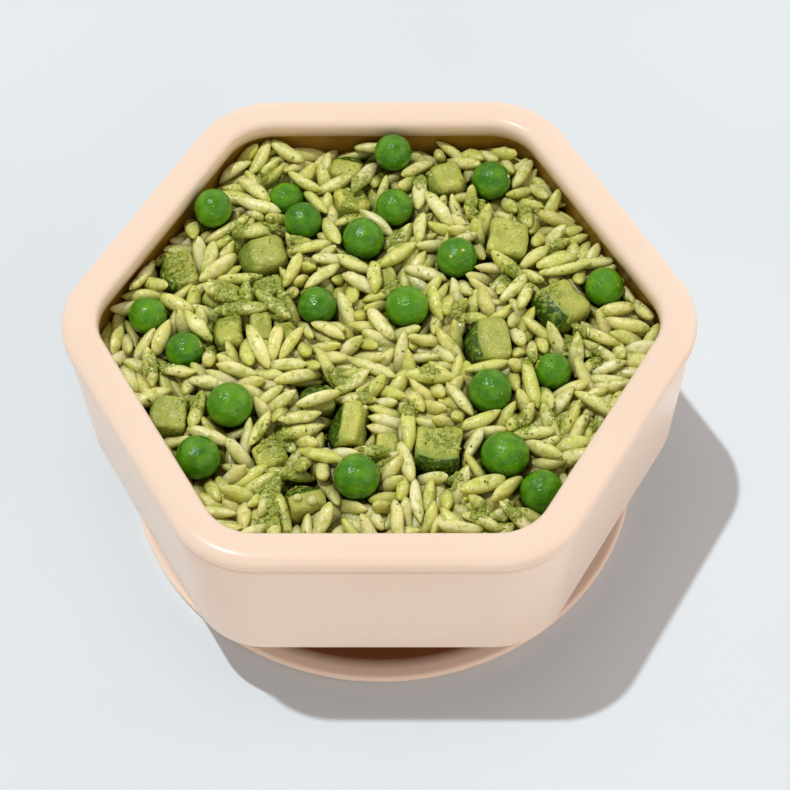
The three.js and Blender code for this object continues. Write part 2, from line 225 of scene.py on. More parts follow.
def add(tree, kind, values, out=0, **settings):
    """Adds a node with its settings and links, and gives one of its outputs.

    values maps an input to a number, a colour, or the other node's output that feeds it."""
    made = tree.nodes.new(kind)
    for name, value in settings.items():
        setattr(made, name, value)
    for key, value in values.items():
        if isinstance(value, bpy.types.NodeSocket):
            tree.links.new(value, made.inputs[key])
        else:
            made.inputs[key].default_value = value
    return made.outputs[out] if made.outputs else None


def patches(tree, where, size, low, high, most=1.0, least=0.0):
    """Cloudy patches about size millimetres across: least where the noise is under low, most over high."""
    cloud = add(tree, "ShaderNodeTexNoise", {"Vector": where, "Scale": 1 / (size * MM), "Detail": 2.0})
    return add(tree, "ShaderNodeMapRange", {
        "Value": cloud, "From Min": low, "From Max": high, "To Min": least, "To Max": most,
    })


def layered(tree, base, *layers):
    """A colour with others laid over it, each given as (where it shows, colour)."""
    share, below, above, mixed = 0, 6, 7, 2      # the Mix node's sockets for colours
    for mask, over in layers:
        values = {share: mask, below: base, above: over}
        base = add(tree, "ShaderNodeMix", values, mixed, data_type="RGBA")
    return base


def dimpled(tree, where, *sizes):
    """The bump of several sizes of noise, each (size, depth) in millimetres."""
    values = {}
    for size, depth in sizes:
        cloud = add(tree, "ShaderNodeTexNoise", {"Vector": where, "Scale": 1 / (size * MM), "Detail": 3.0})
        values = {**values, "Height": cloud, "Distance": depth * MM}
        values["Normal"] = add(tree, "ShaderNodeBump", values)
    return values["Normal"]


def granules(tree, where, size, pesto, start, reach=0.3, soft=0.07, most=1.0):
    """Grains of ground herb size across, hardly any where pesto is 0 and nearly touching where it is 1.

    They show where the noise, with up to reach added for pesto, passes start, and are soft at the edge."""
    cloud = add(tree, "ShaderNodeTexNoise", {"Vector": where, "Scale": 1 / (size * MM), "Detail": 2.0})
    more = add(tree, "ShaderNodeMath", {0: pesto, 1: reach, 2: cloud}, operation="MULTIPLY_ADD")
    return add(tree, "ShaderNodeMapRange", {
        "Value": more, "From Min": start, "From Max": start + soft, "To Max": most,
    })


def start_material(name, *attributes):
    """A new material, its node tree, its object coordinates, and the named numbers that a piece carries."""
    made = bpy.data.materials.new(name)
    made.use_nodes = True
    made.node_tree.nodes.clear()
    where = add(made.node_tree, "ShaderNodeTexCoord", {}, "Object")
    carried = []
    for key in attributes:
        carried.append(add(made.node_tree, "ShaderNodeAttribute", {}, "Fac", attribute_name=key))
    return made, made.node_tree, where, *carried


def lit_inside(weight, depth, radius):
    """Light that goes in and comes out: its share, how far in millimetres, and how far each colour gets."""
    return {"Subsurface Weight": weight, "Subsurface Scale": depth * MM, "Subsurface Radius": radius}


def finish_material(made, values):
    """Gives the material one Principled surface with these values and links."""
    surface = add(made.node_tree, "ShaderNodeBsdfPrincipled", values)
    add(made.node_tree, "ShaderNodeOutputMaterial", {"Surface": surface})
    return made


def moulded_silicone():
    """Food-grade silicone rubber from a satin mould: even and soft, as a little light goes in.

    Inside, below the rim, the pesto's oil has left a brown film on it, which also carries painted
    shade up under the rim; painted shade darkens the thin disc of the foot under the wall."""
    made, tree, where, oiled, hollow = start_material("moulded_silicone", "oiled", "hollow")
    pigment = layered(
        tree, colour("#F5DCC9"), (patches(tree, where, 30.0, 0.35, 0.7), colour("#F3D9C5")),
        # Painted shade: the darker brown on the foot's disc; the oil film's brown also carries painted shade
        # under the rim.
        (hollow, colour("#704022")), (oiled, colour("#987224")),
    )
    return finish_material(made, {
        "Base Color": pigment,
        "Roughness": 0.24,
        "Normal": dimpled(tree, where, (0.5, 0.003)),
        "IOR": 1.41,
        "Specular IOR Level": 0.27,
        **lit_inside(0.2, 1.2, (1.0, 0.55, 0.35)),
    })


def cooked_semolina():
    """Boiled durum pasta tossed in pesto: translucent and wet, stained green, with fine herb bits; painted
    highlights and shade.
    """
    made, tree, where, tint, stain, under, deep, pesto = start_material(
        "cooked_semolina", "tint", "stain", "under", "deep", "pesto",
    )
    dough = layered(
        tree, colour("#F7F1BC"), (tint, colour("#EFE690")), (stain, colour("#DEDF78")),
        (patches(tree, where, 2.6, 0.46, 0.7, 0.6), colour("#CCD05A")),
        # Painted highlight: pale cream speckles stand for glints on the wet tops; the painted shade below
        # covers them on the undersides.
        (patches(tree, where, 0.6, 0.58, 0.68, 0.7), colour("#FFFCE4")),
        # Painted shade: darker olive on each grain's underside, and near black where it lies sunk in the
        # food.
        (under, colour("#B6B226")), (deep, colour("#5E5800")),
        (granules(tree, where, 1.3, pesto, 0.58, 0.3, 0.25, 0.8), colour("#A2B036")),
        (granules(tree, where, 0.5, pesto, 0.74, 0.3, 0.14, 0.7), colour("#7E922A")),
        (granules(tree, where, 0.4, pesto, 0.84, 0.2), colour("#4A5A0E")),
    )
    return finish_material(made, {
        "Base Color": dough,
        "Roughness": patches(tree, where, 1.8, 0.35, 0.65, 0.32, 0.16),
        "Normal": dimpled(tree, where, (0.9, 0.2), (0.4, 0.05)),
        "IOR": 1.46,
        "Specular IOR Level": 0.42,
        **lit_inside(0.35, 0.9, (1.0, 0.85, 0.12)),
    })


def blanched_pea():
    """A cooked pea's taut wet skin over a soft green inside: deep green with small bright glints, and painted
    shade where it lies sunk.
    """
    made, tree, where, tint, deep, pesto = start_material("blanched_pea", "tint", "deep", "pesto")
    skin = layered(
        tree, colour("#357404"), (tint, colour("#4F8E06")),
        (patches(tree, where, 2.6, 0.42, 0.75, 0.7), colour("#74AC1A")),
        # Painted shade: darker where the pea lies sunk in the food.
        (deep, colour("#153600")),
        (granules(tree, where, 0.35, pesto, 0.74, 0.15), colour("#A4BC50")),
    )
    return finish_material(made, {
        "Base Color": skin,
        "Roughness": 0.15,
        "Normal": dimpled(tree, where, (1.1, 0.4), (0.4, 0.06)),
        "IOR": 1.44,
        **lit_inside(0.2, 1.0, (0.5, 1.0, 0.1)),
    })


def steamed_courgette():
    """Soft courgette: glassy pale green flesh, greener under its dark, pale-flecked skin, all oily, with
    painted shade where sunk.
    """
    made, tree, where, tint, rind, skin, deep, pesto = start_material(
        "steamed_courgette", "tint", "rind", "skin", "deep", "pesto",
    )
    peel = layered(tree, colour("#34520C"), (patches(tree, where, 0.9, 0.45, 0.7), colour("#6A8E2A")))
    flesh = layered(
        tree, colour("#B0B454"), (tint, colour("#DED868")),
        (patches(tree, where, 2.8, 0.42, 0.7, 0.7), colour("#94A23C")),
        (patches(tree, where, 0.5, 0.56, 0.68, 0.6), colour("#DCDC90")),
        # Painted shade: the dice darker where they lie sunk in the food; rind and skin are their own colours.
        (rind, colour("#6E8A1A")), (skin, peel), (deep, colour("#36420A")),
        (granules(tree, where, 0.9, pesto, 0.62, 0.3, 0.2, 0.8), colour("#9EAA3C")),
        (granules(tree, where, 0.4, pesto, 0.77, 0.3, 0.12, 0.8), colour("#6C8222")),
    )
    return finish_material(made, {
        "Base Color": flesh,
        "Roughness": patches(tree, where, 1.6, 0.35, 0.65, 0.3, 0.14),
        "Normal": dimpled(tree, where, (1.2, 0.4), (0.5, 0.16)),
        "IOR": 1.45,
        "Specular IOR Level": 0.45,
        **lit_inside(0.3, 1.2, (0.8, 1.0, 0.25)),
    })


def chopped_basil():
    """Blended basil in oil: wet shreds from near black to fresh green."""
    made, tree, where, tint = start_material("chopped_basil", "tint")
    leaf = layered(
        tree, colour("#34440A"), (tint, colour("#A8B444")),
        (patches(tree, where, 0.5, 0.45, 0.7), colour("#7C9028")),
    )
    return finish_material(made, {
        "Base Color": leaf,
        "Roughness": 0.3,
        "Normal": dimpled(tree, where, (0.25, 0.05)),
        "IOR": 1.45,
    })


def pesto_sauce():
    """Ground basil, nuts and cheese held together by oil: a granular olive green paste that glistens."""
    made, tree, where = start_material("pesto_sauce")
    paste = layered(
        tree, colour("#B4BC54"), (patches(tree, where, 1.4, 0.42, 0.65), colour("#93A136")),
        (patches(tree, where, 0.5, 0.58, 0.7, 0.8), colour("#64781C")),
        (patches(tree, where, 0.6, 0.6, 0.7), colour("#DADC92")),
    )
    return finish_material(made, {
        "Base Color": paste,
        "Roughness": 0.15,
        "Normal": dimpled(tree, where, (0.7, 0.3), (0.3, 0.14)),
        "IOR": 1.46,
        **lit_inside(0.2, 0.6, (0.8, 1.0, 0.3)),
    })


def grated_cheese():
    """Hard cheese in crumbs, softened by the oil: pale, matt, greenish where the pesto is."""
    made, tree, where = start_material("grated_cheese")
    crumb = layered(tree, colour("#DAD796"), (patches(tree, where, 1.0, 0.4, 0.7), colour("#BCBE62")))
    return finish_material(made, {
        "Base Color": crumb,
        "Roughness": 0.3,
        "Normal": dimpled(tree, where, (0.4, 0.12)),
        "IOR": 1.44,
        **lit_inside(0.4, 0.8, (1.0, 0.95, 0.5)),
    })


def sunk_pesto_and_shade():
    """The oil and pesto that has run down between the grains, with painted shade of the gaps in its colour:
    deep olive, nearly black, and wet.
    """
    made, tree, where = start_material("sunk_pesto_and_shade")
    paste = layered(
        tree, colour("#2C2608"), (patches(tree, where, 2.4, 0.4, 0.65), colour("#57521A")),
        (patches(tree, where, 0.6, 0.55, 0.7), colour("#1C2006")),
    )
    return finish_material(made, {
        "Base Color": paste,
        "Roughness": 0.3,
        "Normal": dimpled(tree, where, (0.8, 0.3)),
        "IOR": 1.46,
    })


def pale_floor():
    """A smooth pale table top."""
    made, tree, where = start_material("pale_floor")
    tone = layered(tree, colour("#DEE5EB"), (patches(tree, where, 90.0, 0.35, 0.7), colour("#DAE1E8")))
    return finish_material(made, {"Base Color": tone, "Roughness": 0.6, "IOR": 1.4})


# ------------------------ mesh helpers

def carry(mesh, values):
    """Gives a mesh named numbers, one per point, for its material to read."""
    for key, numbers in values.items():
        mesh.attributes.new(key, "FLOAT", "POINT").data.foreach_set("value", np.asarray(numbers, np.float32))


def make_piece(name, points, faces, material, **values):
    """A smooth mesh of points in millimetres; values are numbers per point for its material."""
    mesh = bpy.data.meshes.new(name)
    mesh.from_pydata((np.asarray(points) * MM).tolist(), [], [list(face) for face in faces])
    mesh.validate()
    mesh.shade_smooth()
    mesh.materials.append(material)
    carry(mesh, values)
    made = bpy.data.objects.new(name, mesh)
    bpy.context.scene.collection.objects.link(made)
    return made


def joined(shapes):
    """Points and faces of several (points, faces) shapes as one."""
    points, faces, start = [], [], 0
    for shape_points, shape_faces in shapes:
        points.append(shape_points)
        faces.extend(tuple(start + k for k in face) for face in shape_faces)
        start += len(shape_points)
    return np.concatenate(points), faces


def loft(loops, bottom, top):
    """Points and faces of a closed skin over loops of equally many points, with a point at each end."""
    count, rows = len(loops[0]), len(loops)
    points = np.concatenate([[bottom], *loops, [top]])
    faces = []
    for k in range(count):
        after = (k + 1) % count
        faces.append((0, 1 + after, 1 + k))
        for row in range(rows - 1):
            low = 1 + row * count
            faces.append((low + k, low + after, low + count + after, low + count + k))
        last = 1 + (rows - 1) * count
        faces.append((last + k, last + after, len(points) - 1))
    return points, faces


def softened(corners, steps=7):
    """A path through (reach, z, cut) corners, each rounded off from cut before it to cut after it."""
    path = []
    for index, (*corner, cut) in enumerate(corners):
        corner = np.array(corner)
        if cut == 0:
            path.append(corner)
            continue
        before = np.array(corners[index - 1][:2]) - corner
        after = np.array(corners[index + 1][:2]) - corner
        start = corner + before / np.linalg.norm(before) * cut
        end = corner + after / np.linalg.norm(after) * cut
        for share in np.linspace(0, 1, steps):
            path.append(start * (1 - share) ** 2 + corner * 2 * share * (1 - share) + end * share ** 2)
    return path


def node_points(name):
    """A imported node's own points, in millimetres."""
    return np.array([v.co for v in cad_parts[name].data.vertices]) / MM


def read_off(made):
    """Points and faces of a finished bmesh."""
    points = np.array([v.co for v in made.verts])
    faces = [tuple(v.index for v in face.verts) for face in made.faces]
    made.free()
    return points, faces


def ball(detail):
    """Points and faces of a ball of radius 1, in even triangles."""
    made = bmesh.new()
    bmesh.ops.create_icosphere(made, subdivisions=detail, radius=1.0)
    return read_off(made)


def ripple(points, size, seed, octaves=1):
    """Smooth noise from -1 to 1 at each point, with features size across."""
    shift = Vector([seed * step for step in NOISE_STEPS])
    values = []
    for point in points.tolist():
        values.append(noise.fractal(Vector(point) / size + shift, 1.0, 2.0, octaves))
    return np.array(values)


# ------------------------ bowl

def hexagon_loop(reach, z):
    """One level of the bowl; the arcs at its corners turn about the same six axes at every height."""
    corner = np.radians(np.repeat(np.arange(6) * 60.0, CORNER["steps"] + 1))
    turn = corner + np.radians(np.tile(np.linspace(-30, 30, CORNER["steps"] + 1), 6))
    radius = max(reach - CORNER["axis"], CORNER["sharpest"])
    axis = (reach - radius) / math.cos(math.radians(30))
    x = axis * np.cos(corner) + radius * np.cos(turn)
    y = axis * np.sin(corner) + radius * np.sin(turn)
    return np.stack([x, y, np.full_like(x, z)], 1)


def circle_loop(radius, z):
    """A circle with as many points as a hexagon loop."""
    count = 6 * (CORNER["steps"] + 1)
    turn = 2 * np.pi * (np.arange(count) + 0.5) / count - np.pi / 6
    return np.stack([radius * np.cos(turn), radius * np.sin(turn), np.full(count, z)], 1)


def rim_path():
    """The crowned section of the rim: soft on its outer side and tighter on its inner one."""
    middle, level = RIM["outer"] - RIM["width"] / 2, RIM["top"] - RIM["height"] / 2
    path = []
    for turn in np.radians(np.linspace(*RIM["turns"], RIM["steps"])):
        power = 2 / RIM["squareness"][math.cos(turn) < 0]
        across = np.sign(np.cos(turn)) * abs(np.cos(turn)) ** power
        up = np.sign(np.sin(turn)) * abs(np.sin(turn)) ** power
        reach = RIM["under"] if turn < 0 else RIM["height"] / 2
        path.append((middle + across * RIM["width"] / 2, level + up * reach))
    return path


def bead_path():
    """The thin moulding line on the inner wall, just below the rim."""
    wall, low, high = INSIDE["top"], BEAD["z"] - BEAD["half"], BEAD["z"] + BEAD["half"]
    crest = wall - BEAD["proud"]
    return softened([
        (wall, high + BEAD["above"], 0), (wall, high + BEAD["slant"], 0.1), (crest, high, 0.12),
        (crest, low, 0.12), (wall, low - BEAD["slant"], 0.1), (wall, low - BEAD["below"], 0),
    ], steps=4)


def inside_path(inset=0.0):
    """The inner surface from the floor up to the wall below the rim, moved in by inset."""
    floor, foot = INSIDE["floor"] + inset, INSIDE["bottom"] - inset
    path = []
    for turn in np.radians(np.linspace(90, 0, INSIDE["steps"])):
        path.append((
            foot - INSIDE["fillet"] * (1 - math.cos(turn)),
            floor + INSIDE["fillet"] * (1 - math.sin(turn)),
        ))
    return path


def foot_path():
    """The suction disc from its hollow out over the seat and the lip, and in to the neck."""
    seat_in, seat_out = FOOT["seat"]
    radius, lip, neck, under = FOOT["radius"], FOOT["lip"], FOOT["neck"], WALL["underside"]
    return softened([
        (10, FOOT["hollow"], 0), (seat_in - 6, FOOT["hollow"] * 0.75, 4),
        (seat_in, 0, 0.4), (seat_out, 0, 0.5),
        (radius, 1, 0.4), (radius, lip, 1.0), (radius - 3.5, lip - 0.2, 1.2), (neck + 9, 4.6, 6),
        (neck + 1, 9, 2.5), (neck, under - 2, 0.5), (neck, under, 1.4), (neck + 4, under, 0),
    ])


def outside_path():
    """The outer wall from its underside up to the shoulder that steps in under the rim."""
    foot, wall, under, shoulder = WALL["foot"], WALL["top"], WALL["underside"], WALL["shoulder"]
    return softened([
        (foot - 5, under, 0), (foot, under, 1.6), (wall, shoulder, 0.75),
        (wall - 1.0, shoulder + 0.35, 0.15), (wall - 0.9, shoulder + 0.9, 0),
    ])


def bowl(material):
    """The whole moulding: suction foot, neck, six-sided wall, shoulder and crowned rim."""
    inside = [*bead_path(), *inside_path()[::-1]]
    loops = [circle_loop(*row) for row in foot_path()]
    loops += [hexagon_loop(*row) for row in (*outside_path(), *rim_path(), *inside)]
    points, faces = loft(loops, (0, 0, FOOT["hollow"]), (0, 0, INSIDE["floor"]))
    height = points[:, 2]
    # Painted shade: the oil film's brown is carried up onto the rim's inner side as shade under the rim.
    oiled = np.clip((OIL_FILM_AND_SHADE["top"] - height) / OIL_FILM_AND_SHADE["fade"], 0, 1)
    oiled[:len(points) - 1 - len(loops[0]) * (len(inside) + OIL_FILM_AND_SHADE["rim_loops"])] = 0
    reach = np.linalg.norm(points[:, :2], axis=1)
    # Painted shade: the foot's disc darker under the wall, fading out towards its lip.
    hollow = np.clip((FOOT["radius"] - FOOT_SHADE["inset"] - reach) / FOOT_SHADE["fade"], 0, 1)
    hollow *= height > FOOT_SHADE["lowest"]
    hollow *= height < WALL["underside"] - FOOT_SHADE["under_wall"]
    piece = make_piece("silicone_bowl", points, faces, material, oiled=oiled, hollow=hollow)
    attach(piece, "root")
    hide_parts("bowl")


# ------------------------ oil, pesto and painted shade on the food

def cells_of(points):
    """The row and column of the 1 mm cell that each point is in."""
    return tuple(np.round(points[:, :2] + SOAK_AND_SHADE["cells"] / 2).astype(int).T)


def food_level(points):
    """The height of the food in each cell, evened out over the cells around it."""
    top = np.full((SOAK_AND_SHADE["cells"], SOAK_AND_SHADE["cells"]), CORE["top"])
    np.maximum.at(top, cells_of(points), points[:, 2])
    reach = range(-SOAK_AND_SHADE["around"], SOAK_AND_SHADE["around"] + 1)
    return sum(np.roll(top, (i, j), (0, 1)) for i in reach for j in reach) / len(reach) ** 2


def pesto_cover(points):
    """How much pesto clings to each point, from 0 to 1."""
    cover = np.zeros(len(points))
    for x, y, spread in PESTO_DABS:
        apart = (points[:, 0] - x) ** 2 + (points[:, 1] - y) ** 2
        cover += np.exp(-apart / (2 * (SMEAR["spread"] * spread) ** 2))
    patchy = SMEAR["patches"] * ripple(points, SMEAR["patch_size"], NOISE["pesto"])
    return np.clip(cover + patchy + SMEAR["least"], 0, 1)


def soak_and_shade(pieces):
    """Marks how far each point lies below the food's surface, for painted shade and the oil that has run down
    there, and how much pesto is there.
    """
    own = [np.array([v.co for v in piece.data.vertices]) / MM for piece in pieces]
    level = food_level(np.concatenate(own))
    for piece, points in zip(pieces, own):
        # Painted shade: the lower a point lies below the food's surface, the darker its material paints it.
        sunk = level[cells_of(points)] - SOAK_AND_SHADE["from"] - points[:, 2]
        deep = np.clip(sunk / SOAK_AND_SHADE["depth"], 0, 1) ** SOAK_AND_SHADE["power"]
        carry(piece.data, {"deep": deep, "pesto": pesto_cover(points)})


# ------------------------ peas

def pea_places():
    """Middle and radius of each packed pea."""
    places = []
    for name in sorted(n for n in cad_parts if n.startswith("pea_")):
        points = node_points(name)
        middle = points.mean(0)
        places.append((middle, np.linalg.norm(points - middle, axis=1).max()))
    return places


PEAS = pea_places()


def peas(material, rng):
    """Each pea a little out of round, dimpled and puckered by cooking."""
    unit, faces = ball(PEA_FORM["detail"])
    shapes, tints = [], []
    for index, (middle, radius) in enumerate(PEAS):
        squeeze = 1 - PEA_FORM["squeeze"] * rng.random(3)
        dents = PEA_FORM["dents"] * ripple(unit, PEA_FORM["dent_size"], index) - PEA_FORM["shrunk"]
        folds = ripple(unit, PEA_FORM["crease_size"], index + NOISE["creases"])
        creases = np.clip(1 - abs(folds) * PEA_FORM["crease_edge"], 0, 1)
        wrinkled = rng.uniform(*PEA_FORM["wrinkled"]) ** 2
        reach = 1 + dents - PEA_FORM["creases"] * wrinkled * creases
        shapes.append((middle + unit * squeeze * reach[:, None] * radius, faces))
        tints.append(np.full(len(unit), rng.random()))
    points, all_faces = joined(shapes)
    piece = make_piece("peas", points, all_faces, material, tint=np.concatenate(tints))
    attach(piece, "root")
    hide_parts(*[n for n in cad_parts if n.startswith("pea_")])
    return piece


# ------------------------ courgette

def dice_places():
    """Middle, half sizes, own axes and cut of each packed dice; each lies a little askew."""
    places = []
    names = sorted(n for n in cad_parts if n.startswith("courgette_"))
    for index, (name, (facing, *cut)) in enumerate(zip(names, DICE_CUT)):
        points = node_points(name)
        turn = math.radians(facing)
        axes = np.array([
            [math.cos(turn), math.sin(turn), 0.0], [-math.sin(turn), math.cos(turn), 0.0], [0.0, 0.0, 1.0],
        ])
        local = points @ axes.T
        middle, half = (local.max(0) + local.min(0)) / 2, (local.max(0) - local.min(0)) / 2
        lean = np.radians(np.random.default_rng(index).normal(0, DICE_FORM["lean"], 2))
        askew = Matrix.Rotation(lean[0], 3, "X") @ Matrix.Rotation(lean[1], 3, "Y")
        places.append((middle @ axes, half, np.array(askew) @ axes, cut))
    return places


DICE = dice_places()


def grid_cube(cuts):
    """Points and faces of a cube from -1 to 1, with its grid closer towards the edges."""
    made = bmesh.new()
    bmesh.ops.create_cube(made, size=2.0)
    bmesh.ops.subdivide_edges(made, edges=made.edges[:], cuts=cuts, use_grid_fill=True)
    points, faces = read_off(made)
    return np.sin(points * np.pi / 2), faces


def dice_shape(unit, half, cut, index):
    """One dice about its own middle, and how far its skin side curves in at each point."""
    skin, slope, roundness = cut
    rounding = half.min() * roundness
    full = unit * half
    inner = np.clip(full, rounding - half, half - rounding)
    out = full - inner
    length = np.maximum(np.linalg.norm(out, axis=1, keepdims=True), 1e-9)
    shape = inner + out / length * rounding
    curve = (DICE_FORM["bulge"] + DICE_FORM["skin_bulge"] * skin) * (shape[:, 1] / half[1]) ** 2
    curve = curve * np.clip(shape[:, 0] / half[0], 0, 1)
    shape[:, 0] -= curve
    slope_low, slope_back = DICE_FORM["slope_from"]
    high = np.clip(shape[:, 2] / half[2] + slope_low, 0, 1)
    skinward = np.clip(shape[:, 0] / half[0] + slope_back, 0, 1)
    shape[:, 0] -= slope * half[0] * high ** DICE_FORM["slope_power"] * skinward
    sag = 1 - (shape / half) ** 2
    shape[:, 2] -= DICE_FORM["sag"] * sag[:, 0] * sag[:, 1] * np.clip(shape[:, 2] / half[2], 0, 1)
    away = shape / np.linalg.norm(shape, axis=1, keepdims=True)
    (large, fine), (large_size, fine_size) = DICE_FORM["waves"], DICE_FORM["wave_sizes"]
    wave = large * ripple(shape, large_size, index + NOISE["dice"])
    wave = wave + fine * ripple(shape, fine_size, index + NOISE["dice_fine"], 2) - DICE_FORM["shrunk"]
    return shape + away * wave[:, None], curve


def courgette_dice(material, rng):
    """Knife-cut dice that cooking has softened: sides sink, edges round off, skin sides bulge and slope."""
    unit, faces = grid_cube(DICE_FORM["cuts"])
    shapes, skins, rinds, tints = [], [], [], []
    for index, (middle, half, axes, cut) in enumerate(DICE):
        shape, curve = dice_shape(unit, half, cut, index)
        skin = cut[0]
        with_skin = skin > PEEL["any"]
        depth = half[0] * unit[:, 0] - curve
        edge = half[0] - PEEL["depth"] - (PEEL["curve"] + PEEL["skin_curve"] * skin) * (unit[:, 1]) ** 2
        peeled = np.clip((depth - edge) / PEEL["edge"] + 0.5, 0, 1)
        skins.append(peeled * min(1.0, skin * PEEL["dark"]) * with_skin)
        green = np.clip((depth - edge + PEEL["rind"]) / PEEL["rind"], 0, 1)
        rinds.append(green * (PEEL["rind_least"] + PEEL["rind_more"] * skin))
        pale = DICE_FORM["tints"] * rng.random()
        tints.append(np.full(len(unit), pale if with_skin else DICE_FORM["paler"] + pale))
        shapes.append((middle + shape @ axes, faces))
    points, all_faces = joined(shapes)
    piece = make_piece(
        "courgette_dice", points, all_faces, material, skin=np.concatenate(skins),
        rind=np.concatenate(rinds), tint=np.concatenate(tints),
    )
    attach(piece, "root")
    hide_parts(*[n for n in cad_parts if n.startswith("courgette_")])
    return piece


# ------------------------ orzo

def apothem_at(points):
    """Distance from the bowl's axis to the flat side nearest to each point."""
    facing = np.radians(30 + 60 * np.arange(6))
    return (points[..., :1] * np.cos(facing) + points[..., 1:2] * np.sin(facing)).max(-1)


def push_from_wall(points, radius):
    """How far each ball has to move to be inside the bowl's rounded hexagon."""
    corner = CORNER["axis"] / math.cos(math.radians(30))
    turn = np.radians(60 * np.arange(7))
    ring = np.stack([np.cos(turn), np.sin(turn)], 1) * corner
    start, along = ring[:-1], ring[1:] - ring[:-1]
    flat = points[:, None, :2] - start
    share = np.clip((flat * along).sum(-1) / (along ** 2).sum(-1), 0, 1)
    away = flat - share[..., None] * along
    distance = np.linalg.norm(away, axis=-1)
    nearest = distance.argmin(1)
    rows = np.arange(len(points))
    away, distance = away[rows, nearest], distance[rows, nearest]
    outside = apothem_at(points) > CORNER["axis"]
    room = INSIDE["top"] - GAP - CORNER["axis"] - radius
    over = np.where(outside, np.maximum(distance - room, 0), 0)
    push = np.zeros_like(points)
    push[:, :2] = -away / np.maximum(distance, 1e-9)[:, None] * over[:, None]
    return push


def push_from_peas(points, radius):
    """How far each ball has to move to be clear of the peas."""
    push = np.zeros_like(points)
    for middle, size in PEAS:
        away = points - middle
        distance = np.maximum(np.linalg.norm(away, axis=1), 1e-9)
        over = np.maximum(size + radius + CLEAR["pea"] - distance, 0)
        push += away / distance[:, None] * over[:, None]
    return push


def push_from_dice(points, radius):
    """How far each ball has to move to be clear of the dice, out of the nearest side or over the top."""
    push = np.zeros_like(points)
    rounding = CLEAR["dice_edge"]
    for middle, half, axes, _ in DICE:
        local = (points - middle) @ axes.T
        core = half - rounding
        near = np.clip(local, -core, core)
        away = local - near
        distance = np.linalg.norm(away, axis=1)
        buried = distance < 1e-6
        depth = core - abs(local)
        depth[:, 2] = np.where(local[:, 2] > 0, depth[:, 2], 1e3)
        way = depth.argmin(1)
        rows = np.arange(len(points))
        escape = np.zeros_like(points)
        escape[rows, way] = np.where(local[rows, way] >= 0, 1.0, -1.0)
        direction = np.where(buried[:, None], escape, away / np.maximum(distance, 1e-9)[:, None])
        over = np.where(buried, depth[rows, way] + rounding + radius, rounding + radius - distance)
        push += (direction * np.clip(over, 0, CLEAR["dice_step"])[:, None]) @ axes
    return push


def core_top(points):
    """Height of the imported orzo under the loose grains."""
    edge = apothem_at(points) / INSIDE["top"]
    return CORE["top"] + CORE["crown"] * (1 - edge ** 2)


def share_bare(spot):
    """How seldom a grain is dropped at a place: the larger dice stay bare."""
    for middle, half, axes, _ in DICE:
        if (abs(axes @ (spot - middle))[:2] < half[:2]).all():
            return BARE["seldom"] if half[0] * half[1] > BARE["large"] else BARE["small_seldom"]
    return 0.0


def covers_dice(middle):
    """True for a grain that has slid onto the middle of one of the larger dice."""
    for place, half, axes, _ in DICE:
        near = abs(axes @ (middle - place))[:2] / half[:2]
        if half[0] * half[1] > BARE["kept_large"] and near.max() < BARE["kept_middle"]:
            return True
    return False


def drop_places(rng, count):
    """Where each grain is dropped into the bowl."""
    places = []
    while len(places) < count:
        spot = np.array([*(rng.uniform(-DROP["reach"], DROP["reach"], 2)), 0.0])
        if apothem_at(spot[None])[0] > INSIDE["top"] - DROP["from_wall"]:
            continue
        if rng.random() > DROP["share"] + spot[1] / DROP["front_loss"]:
            continue
        spot[2] = CORE["top"] + DROP["lowest"] + DROP["highest"] * len(places) / count
        if rng.random() < share_bare(spot):
            continue
        places.append(spot)
    return np.array(places)


def push_apart(points, girth, first, second):
    """How far each ball has to move to be clear of other grains; first and second are pairs of grains."""
    count, balls = points.shape[:2]
    total, hits = np.zeros((count * balls, 3)), np.zeros(count * balls)
    between = points[first][:, :, None] - points[second][:, None]
    distance = np.sqrt((between ** 2).sum(-1))
    over = girth[None, :, None] + girth[None, None, :] - distance
    pair, i, j = np.nonzero(over > 0)
    share = over[pair, i, j] / np.maximum(distance[pair, i, j], 1e-6) / 2
    push = between[pair, i, j] * share[:, None]
    for ids, way in ((first[pair] * balls + i, 1.0), (second[pair] * balls + j, -1.0)):
        for axis in range(3):
            total[:, axis] += np.bincount(ids, way * push[:, axis], len(total))
        hits += np.bincount(ids, minlength=len(total))
    return total / np.maximum(hits, 1)[:, None] * POUR["overpush"]


